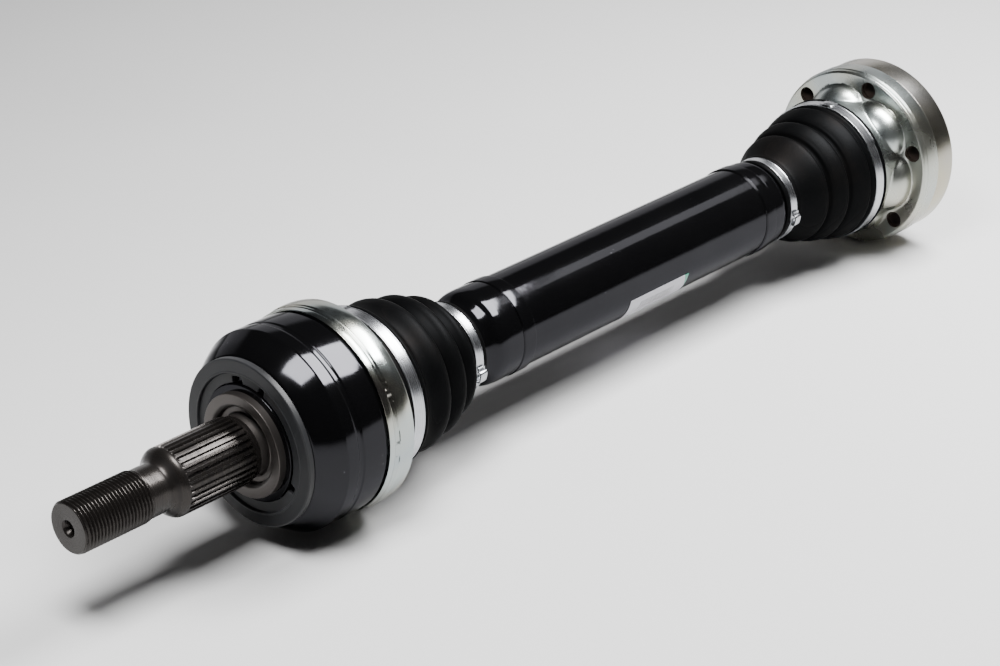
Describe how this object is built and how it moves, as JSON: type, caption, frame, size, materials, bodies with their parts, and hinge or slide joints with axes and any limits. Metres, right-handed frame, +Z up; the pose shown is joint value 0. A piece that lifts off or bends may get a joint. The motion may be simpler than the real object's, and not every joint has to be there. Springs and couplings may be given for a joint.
{
  "type": "cv axle",
  "caption": "Drive axle with a splined wheel stub, two booted ball joints, a tubular shaft and a bolt-on gearbox flange.",
  "frame": {"origin": "centre of the flat crown of the inboard end cap, which pilots in the gearbox's drive flange, on the axle's centreline", "axes": "+X along the axle from the wheel stub to the gearbox flange; +Z up as it is installed"},
  "size_m": [0.6514, 0.1092, 0.11],
  "materials": {
    "gloss_black_paint": "gloss",
    "zinc_plate": "bright zinc plate",
    "band_steel": "polished",
    "boot_rubber": "satin",
    "ring_plastic": "satin",
    "bearing_steel": "ground",
    "hardened_steel": "hardened and oiled",
    "machined_steel": "turned",
    "label_film": "satin"
  },
  "bodies": {
    "flange": {"inboard_outer_race": "machined_steel", "flange_cap": "zinc_plate", "flange_end_cap": "zinc_plate", "inboard_large_clamp": "band_steel"},
    "inboard_bellows": {"inboard_boot": "boot_rubber"},
    "inboard_ball_top": {"inboard_ball_2": "bearing_steel"},
    "inboard_cage_set": {"inboard_cage": "hardened_steel", "inboard_ball_1": "bearing_steel", "inboard_ball_3": "bearing_steel", "inboard_ball_4": "bearing_steel", "inboard_ball_6": "bearing_steel"},
    "inboard_ball_bottom": {"inboard_ball_5": "bearing_steel"},
    "shaft": {"inboard_inner_race": "hardened_steel", "inboard_circlip": "band_steel", "inboard_small_clamp": "band_steel", "shaft_inboard_end": "gloss_black_paint", "shaft_tube": "gloss_black_paint", "shaft_label": "label_film", "shaft_outboard_end": "gloss_black_paint", "outboard_small_clamp": "band_steel", "outboard_inner_race": "hardened_steel", "outboard_circlip": "band_steel", "outboard_boot": "boot_rubber"},
    "outboard_ball_top": {"outboard_ball_1": "bearing_steel"},
    "outboard_cage_set": {"outboard_cage": "hardened_steel", "outboard_ball_2": "bearing_steel", "outboard_ball_3": "bearing_steel", "outboard_ball_5": "bearing_steel", "outboard_ball_6": "bearing_steel"},
    "outboard_ball_bottom": {"outboard_ball_4": "bearing_steel"},
    "bell": {"wheel_bell": "gloss_black_paint", "hub_dust_ring": "ring_plastic", "outboard_boot_adapter": "zinc_plate", "outboard_large_clamp": "band_steel"}
  },
  "joints": [
    {"name": "inboard_tilt_a", "type": "hinge", "parent": "shaft", "child": "inboard_ball_bottom", "pos_m": [-0.0283, 0, 0], "axis": [0, -0.9521, 0.3057], "range_deg": [-7, 7]},
    {"name": "inboard_tilt_b", "type": "hinge", "parent": "inboard_ball_bottom", "child": "inboard_cage_set", "pos_m": [-0.0283, 0, 0], "axis": [0, 0.3057, 0.9521], "range_deg": [-7, 7]},
    {"name": "inboard_tilt_b_flange", "type": "hinge", "parent": "inboard_cage_set", "child": "inboard_ball_top", "pos_m": [-0.0283, 0, 0], "axis": [0, 0.3057, 0.9521], "range_deg": [-7, 7]},
    {"name": "inboard_tilt_a_flange", "type": "hinge", "parent": "inboard_ball_top", "child": "inboard_bellows", "pos_m": [-0.0283, 0, 0], "axis": [0, -0.9521, 0.3057], "range_deg": [-7, 7]},
    {"name": "inboard_plunge", "type": "slide", "parent": "inboard_bellows", "child": "flange", "axis": [1, 0, 0], "range_m": [-0.008, 0.01], "deforming": ["inboard_boot"]},
    {"name": "outboard_tilt_a", "type": "hinge", "parent": "shaft", "child": "outboard_ball_top", "pos_m": [-0.4972, 0, 0], "axis": [0, 1, 0], "range_deg": [-10.5, 10.5], "deforming": ["outboard_boot"]},
    {"name": "outboard_tilt_b", "type": "hinge", "parent": "outboard_ball_top", "child": "outboard_cage_set", "pos_m": [-0.4972, 0, 0], "axis": [0, 0, 1], "range_deg": [-10.5, 10.5]},
    {"name": "outboard_tilt_b_bell", "type": "hinge", "parent": "outboard_cage_set", "child": "outboard_ball_bottom", "pos_m": [-0.4972, 0, 0], "axis": [0, 0, 1], "range_deg": [-10.5, 10.5]},
    {"name": "outboard_tilt_a_bell", "type": "hinge", "parent": "outboard_ball_bottom", "child": "bell", "pos_m": [-0.4972, 0, 0], "axis": [0, 1, 0], "range_deg": [-10.5, 10.5]}
  ],
  "couplings": [
    {"joint": "inboard_tilt_b_flange", "follows": "inboard_tilt_b", "ratio": 1},
    {"joint": "inboard_tilt_a_flange", "follows": "inboard_tilt_a", "ratio": 1},
    {"joint": "outboard_tilt_b_bell", "follows": "outboard_tilt_b", "ratio": 1},
    {"joint": "outboard_tilt_a_bell", "follows": "outboard_tilt_a", "ratio": 1}
  ]
}
